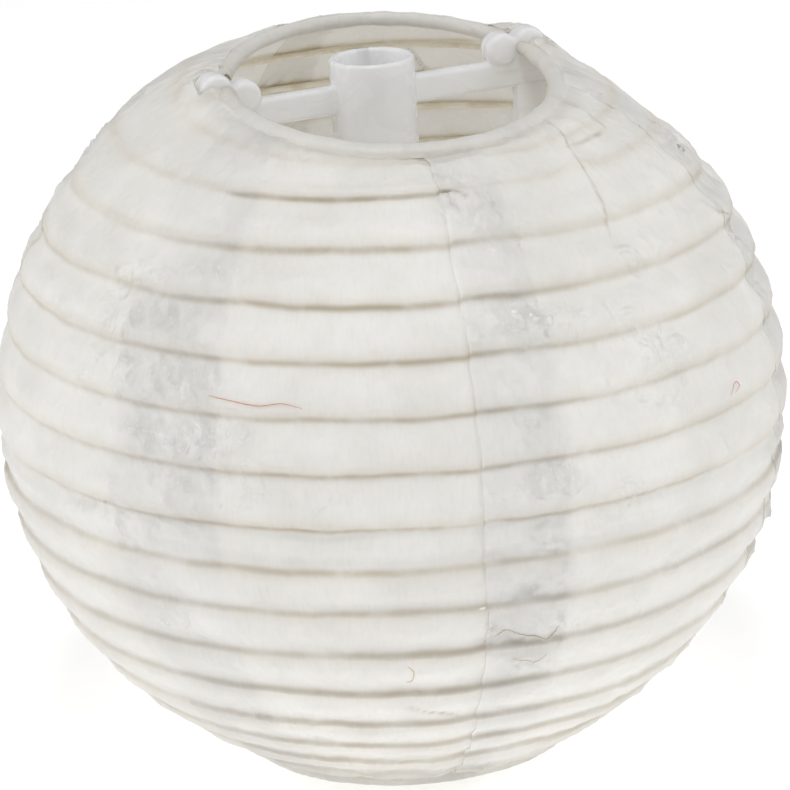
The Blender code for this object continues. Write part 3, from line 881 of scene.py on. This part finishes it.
def make_wires():
    turns = np.arange(FIRST_TURN, LAST_TURN, 1.0 / 120.0)
    angle_deg = RIB_PHASE_ANGLE_DEG + 360.0 * turns
    wobble = rib_wobble(angle_deg, turns)
    latitude = latitude_at(turns - wobble)
    angle = np.radians(angle_deg)
    depth = np.full_like(turns, 1.0)
    for aside in np.linspace(-1.3, 1.3, 9) * RIB_WIRE:
        height, _ = relief(latitude + aside / GLOBE_RADIUS, angle)
        depth = np.minimum(depth, height - PAPER - 0.05 * MM - np.sqrt(max(RIB_WIRE ** 2 - aside ** 2, 0.0)))
    for settle in (np.min, np.mean):
        depth = settle([np.roll(depth, step) for step in range(-4, 5)], axis=0)
    depth[:8], depth[-8:] = depth[8], depth[-9]
    centres = raised(latitude, angle, depth)
    points, faces = tube_along(centres, RIB_WIRE, 8)
    spiral = make_piece("rib_spiral_wire", points, faces, [RIB_METAL])
    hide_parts("rib_spiral")
    fold_with_globe(spiral)
    around = np.radians(np.arange(160) * 360.0 / 160)
    for name, end, body in (("top_ring", 1, "lantern"), ("bottom_ring", -1, "base")):
        centres = ring_point(around, end)
        points, faces = tube_along(centres, 0.50 * MM, 16, closed=True)
        ring = make_piece(name + "_wire", points, faces, [RING_METAL])
        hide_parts(name)
        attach(ring, body)


make_wires()


# ---------------------------------------------------------------- the moulded expander

def rounded_box(low, high, rounding):
    """Points and faces of a box with a rounded outline, dense enough to fuse with its neighbours."""
    shape = bmesh.new()
    bmesh.ops.create_cube(shape, size=1.0)
    low, high = Vector(low), Vector(high)
    for vert in shape.verts:
        vert.co = Vector([low[i] + (vert.co[i] + 0.5) * (high[i] - low[i]) for i in range(3)])
    bmesh.ops.bevel(shape, geom=list(shape.edges), offset=rounding, segments=4, affect="EDGES", profile=0.5)
    return shape


def add_box(shape, ends, half_width, heights, rounding):
    """Add a rounded box between two x places and two heights, centred on the arms' plane."""
    low_x, high_x = sorted(ends)
    merge(shape, rounded_box((low_x, -half_width, heights[0]), (high_x, half_width, heights[1]), rounding))


def merge(target, source):
    mesh = bpy.data.meshes.new("part")
    source.to_mesh(mesh)
    source.free()
    target.from_mesh(mesh)
    bpy.data.meshes.remove(mesh)


def lathe(profile, segments=96):
    """A turned shape from (radius, height) points, closed on itself."""
    shape = bmesh.new()
    loops = []
    for step in range(segments):
        angle = 2.0 * math.pi * step / segments
        loops.append([shape.verts.new((radius * math.cos(angle), radius * math.sin(angle), height))
                      for radius, height in profile])
    for step in range(segments):
        here, after = loops[step], loops[(step + 1) % segments]
        for spot in range(len(profile)):
            other = (spot + 1) % len(profile)
            shape.faces.new((here[spot], after[spot], after[other], here[other]))
    bmesh.ops.recalc_face_normals(shape, faces=shape.faces)
    return shape


def fused(name, shape, voxel, smoothing):
    """One skin round all the overlapping parts, softened like a moulding."""
    mesh = bpy.data.meshes.new(name)
    shape.to_mesh(mesh)
    shape.free()
    piece = bpy.data.objects.new(name, mesh)
    bpy.context.collection.objects.link(piece)
    remesh = piece.modifiers.new("fuse", "REMESH")
    remesh.mode = "VOXEL"
    remesh.voxel_size = voxel
    smooth = piece.modifiers.new("soften", "SMOOTH")
    smooth.factor = 0.5
    smooth.iterations = smoothing
    graph = bpy.context.evaluated_depsgraph_get()
    final = bpy.data.meshes.new_from_object(piece.evaluated_get(graph))
    piece.modifiers.clear()
    piece.data = final
    final.shade_smooth()
    final.materials.clear()
    final.materials.append(PLASTIC)
    return piece


def make_expander():
    shape = bmesh.new()
    bottom = TUBE_TOP_Z - TUBE_LENGTH
    lip = 0.22 * MM
    merge(shape, lathe(((TUBE_BORE, bottom + lip), (TUBE_BORE, TUBE_TOP_Z - lip), (TUBE_BORE + lip, TUBE_TOP_Z),
                        (TUBE_RADIUS - lip, TUBE_TOP_Z), (TUBE_RADIUS, TUBE_TOP_Z - lip),
                        (TUBE_RADIUS, bottom + lip), (TUBE_RADIUS - lip, bottom), (TUBE_BORE + lip, bottom))))
    for side in (1, -1):
        add_box(shape, (side * (TUBE_RADIUS - 0.45 * MM), side * ARM_REACH), ARM_THICKNESS / 2.0,
                (ARM_TOP_Z - ARM_HEIGHT, ARM_TOP_Z), 0.45 * MM)
        for place, inward, drop in ((-0.5, 0.0, 0.95 if side < 0 else 0.25), (0.5, 0.30, 0.0)):
            centre = Vector((side * (CLIP.x + place * LOBE_SPACING - inward * MM), 0.0, CLIP.z - drop * MM))
            lobe = bmesh.new()
            radius = LOBE_RADIUS * 1.08       # the softening shrinks it a little
            bmesh.ops.create_cone(lobe, cap_ends=True, segments=48, radius1=radius, radius2=radius,
                                  depth=LOBE_THICKNESS)
            rims = [edge for edge in lobe.edges if abs(edge.verts[0].co.z - edge.verts[1].co.z) < 1e-7]
            bmesh.ops.bevel(lobe, geom=rims, offset=0.55 * MM, segments=6, affect="EDGES", profile=0.5)
            lobe.transform(Matrix.Translation(centre) @ Matrix.Rotation(math.radians(90.0), 4, "X"))
            merge(shape, lobe)
            add_box(shape, (centre.x - 0.95 * MM, centre.x + 0.95 * MM), 0.8 * MM,
                    (ARM_TOP_Z - 1.0 * MM, CLIP.z), 0.35 * MM)
        add_box(shape, (side * (CLIP.x - 2.4 * MM), side * (CLIP.x + 2.4 * MM)), 0.95 * MM,
                (ARM_TOP_Z - 1.2 * MM, CLIP.z - 0.75 * MM), 0.4 * MM)
    expander = fused("expander_moulding", shape, 0.13 * MM, 6)
    carve_keyway(expander)
    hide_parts("expander")
    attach(expander, "lantern")


def carve_keyway(expander):
    """A shallow channel down the bore's far wall."""
    mesh = expander.data
    points = np.empty(len(mesh.vertices) * 3)
    mesh.vertices.foreach_get("co", points)
    points = points.reshape(-1, 3)
    radius = np.hypot(points[:, 0], points[:, 1])
    along = points[:, 0] * math.cos(KEYWAY_ANGLE) + points[:, 1] * math.sin(KEYWAY_ANGLE)
    across = -points[:, 0] * math.sin(KEYWAY_ANGLE) + points[:, 1] * math.cos(KEYWAY_ANGLE)
    on_bore = (radius < (TUBE_BORE + TUBE_RADIUS) / 2.0) & (along > 0.0)
    depth = KEYWAY_DEPTH * smoothstep(KEYWAY_WIDTH / 2.0 + 0.08 * MM, KEYWAY_WIDTH / 2.0 - 0.08 * MM,
                                      np.abs(across)) * on_bore
    points[:, 0] += depth * math.cos(KEYWAY_ANGLE)
    points[:, 1] += depth * math.sin(KEYWAY_ANGLE)
    mesh.vertices.foreach_set("co", points.ravel())
    mesh.update()


def make_leg(name, side, body):
    """A tapered leg that hooks over the bottom ring. Its top fills the gap under the arm."""
    ring_face = RING_RADIUS / MM - 0.85
    # In millimetres out from the axis and up: the outer edge, the hook round the ring, and the inner edge.
    outline = [(14.4, 62.4), (17.4, 62.4), (17.4, 57.1), (ring_face, 2.95), (14.8, 1.75), (ring_face, 0.75),
               (ring_face - 0.2, 0.3), (ring_face - 2.3, 0.3), (ring_face - 2.3, 2.95), (14.4, 57.1)]
    shape = bmesh.new()
    front = [shape.verts.new((side * x * MM, -ARM_THICKNESS / 2.0, z * MM)) for x, z in outline]
    back = [shape.verts.new((side * x * MM, ARM_THICKNESS / 2.0, z * MM)) for x, z in outline]
    shape.faces.new(front)
    shape.faces.new(list(reversed(back)))
    for index in range(len(outline)):
        other = (index + 1) % len(outline)
        shape.faces.new((front[index], back[index], back[other], front[other]))
    bmesh.ops.recalc_face_normals(shape, faces=shape.faces)
    bmesh.ops.bevel(shape, geom=list(shape.edges), offset=0.38 * MM, segments=3, affect="EDGES", profile=0.5,
                    clamp_overlap=True)
    leg = fused(name + "_moulding", shape, 0.13 * MM, 12)
    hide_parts(name)
    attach(leg, body)


make_expander()
make_leg("leg_right", 1, "right_leg")
make_leg("leg_left", -1, "left_leg")


# ---------------------------------------------------------------- loose fibres on the paper

# Along (latitude, angle) points in degrees, with the radius in millimetres.
FIBRES = (
    (((17.2, -138.5), (16.7, -135.0), (16.2, -131.0), (16.6, -127.5), (16.0, -124.5)), 0.045, RED_FIBRE),
    (((-21.8, -100.5), (-20.2, -97.5), (-21.5, -94.0), (-22.5, -90.0), (-21.0, -88.5)), 0.035, TAN_FIBRE),
    (((-24.5, -96.0), (-26.0, -93.0), (-25.0, -90.5)), 0.030, TAN_FIBRE),
    (((7.0, -57.0), (8.2, -56.2), (8.4, -54.8), (7.6, -54.2), (7.0, -55.4)), 0.040, RED_FIBRE),
    (((-24.2, -112.0), (-25.3, -111.2), (-27.4, -111.6), (-28.0, -112.4)), 0.040, TAN_FIBRE),
    (((-4.0, 52.0), (-3.0, 57.0), (-5.0, 62.0), (-4.5, 66.0)), 0.038, TAN_FIBRE),
    (((30.0, 128.0), (31.5, 131.0), (31.0, 135.0)), 0.038, RED_FIBRE),
    (((12.0, 5.0), (10.0, 8.0), (10.5, 13.0)), 0.038, TAN_FIBRE),
)


def make_fibres():
    """Long fibres left in the paper."""
    for material, name in ((RED_FIBRE, "red_paper_fibres"), (TAN_FIBRE, "tan_paper_fibres")):
        all_points, all_faces = [], []
        for line, radius, kind in FIBRES:
            if kind is not material:
                continue
            places = np.array(line)
            steps = np.linspace(0.0, len(line) - 1.0, 14 * (len(line) - 1))
            knots = list(range(len(line)))
            lat = np.radians(through(np.stack((knots, places[:, 0]), -1), steps))
            ang = np.radians(through(np.stack((knots, places[:, 1]), -1), steps))
            height, _ = relief(lat, ang)
            lift = height + SHEET_LIFT + (radius * 0.5 + 0.05) * MM
            centres = raised(lat, ang, lift)
            thin = radius * MM * np.sqrt(np.clip(np.sin(np.pi * (steps + 0.2) / (len(line) - 0.6)), 0.15, 1.0))
            points, faces = tube_along(centres, thin, 6)
            base = sum(len(part) for part in all_points)
            all_points.append(points)
            all_faces.extend([[corner + base for corner in face] for face in faces])
        piece = make_piece(name, np.concatenate(all_points), all_faces, [material])
        fold_with_globe(piece)


make_fibres()


# ---------------------------------------------------------------- floor and light

# Name, azimuth and elevation in degrees, distance and size in metres, and power in watts.
SOFT_LIGHTS = (("left_soft", -100.0, 30.0, 0.70, (0.40, 0.50), 1.65),
               ("right_soft", 58.0, 32.0, 0.70, (0.40, 0.50), 1.5),
               ("top_soft", -22.0, 62.0, 0.75, (0.20, 0.18), 2.0))
LIGHT_AIM = Vector((0.0, 0.0, 30.0 * MM))
FLOOR_HALF, FLOOR_STEPS = 3.0, 24


def add_area(name, azimuth_deg, elevation_deg, distance, size, power):
    azimuth, elevation = math.radians(azimuth_deg), math.radians(elevation_deg)
    place = Vector((math.sin(azimuth) * math.cos(elevation), -math.cos(azimuth) * math.cos(elevation),
                    math.sin(elevation))) * distance + LIGHT_AIM
    data = bpy.data.lights.new(name, "AREA")
    data.shape = "RECTANGLE"
    data.size, data.size_y = size
    data.energy = power
    light = bpy.data.objects.new(name, data)
    light.location = place
    light.rotation_euler = (place - LIGHT_AIM).to_track_quat("Z", "Y").to_euler()
    bpy.context.collection.objects.link(light)


def add_studio():
    shader = Shader("pale_floor")
    place = shader.add("TexCoord", out=3)
    tone = shader.noise(place, 9.0, 3.0)
    colour = shader.mix(tone, (0.93, 0.93, 0.93), (0.955, 0.955, 0.955))
    material = shader.end(shader.add("BsdfPrincipled", {
        "Base Color": colour, "Roughness": 0.9, "Specular IOR Level": 0.1,
        "Emission Color": (1.0, 1.0, 1.0, 1.0), "Emission Strength": 0.40}))
    steps = np.linspace(-FLOOR_HALF, FLOOR_HALF, FLOOR_STEPS)
    grid = np.stack(np.meshgrid(steps, steps, indexing="ij"), -1).reshape(-1, 2)
    points = np.concatenate((grid, np.zeros((len(grid), 1))), 1)
    floor = make_piece("floor", points, grid_faces(FLOOR_STEPS, FLOOR_STEPS), [material])
    world = bpy.data.worlds.new("soft_box")
    world.use_nodes = True
    background = world.node_tree.nodes["Background"]
    background.inputs["Color"].default_value = (1.0, 1.0, 1.0, 1.0)
    background.inputs["Strength"].default_value = 0.31
    bpy.context.scene.world = world
    for light in SOFT_LIGHTS:
        add_area(*light)
    # Light that thin paper scatters into the globe.
    data = bpy.data.lights.new("scattered_inside", "POINT")
    data.energy = 0.0026
    data.shadow_soft_size = 8.0 * MM
    light = bpy.data.objects.new("scattered_inside", data)
    light.location = (0.0, 0.0, 36.0 * MM)
    bpy.context.collection.objects.link(light)
    bpy.context.scene.view_settings.view_transform = "Standard"
    cycles = bpy.context.scene.cycles
    cycles.max_bounces, cycles.diffuse_bounces, cycles.transmission_bounces = 18, 10, 16


add_studio()
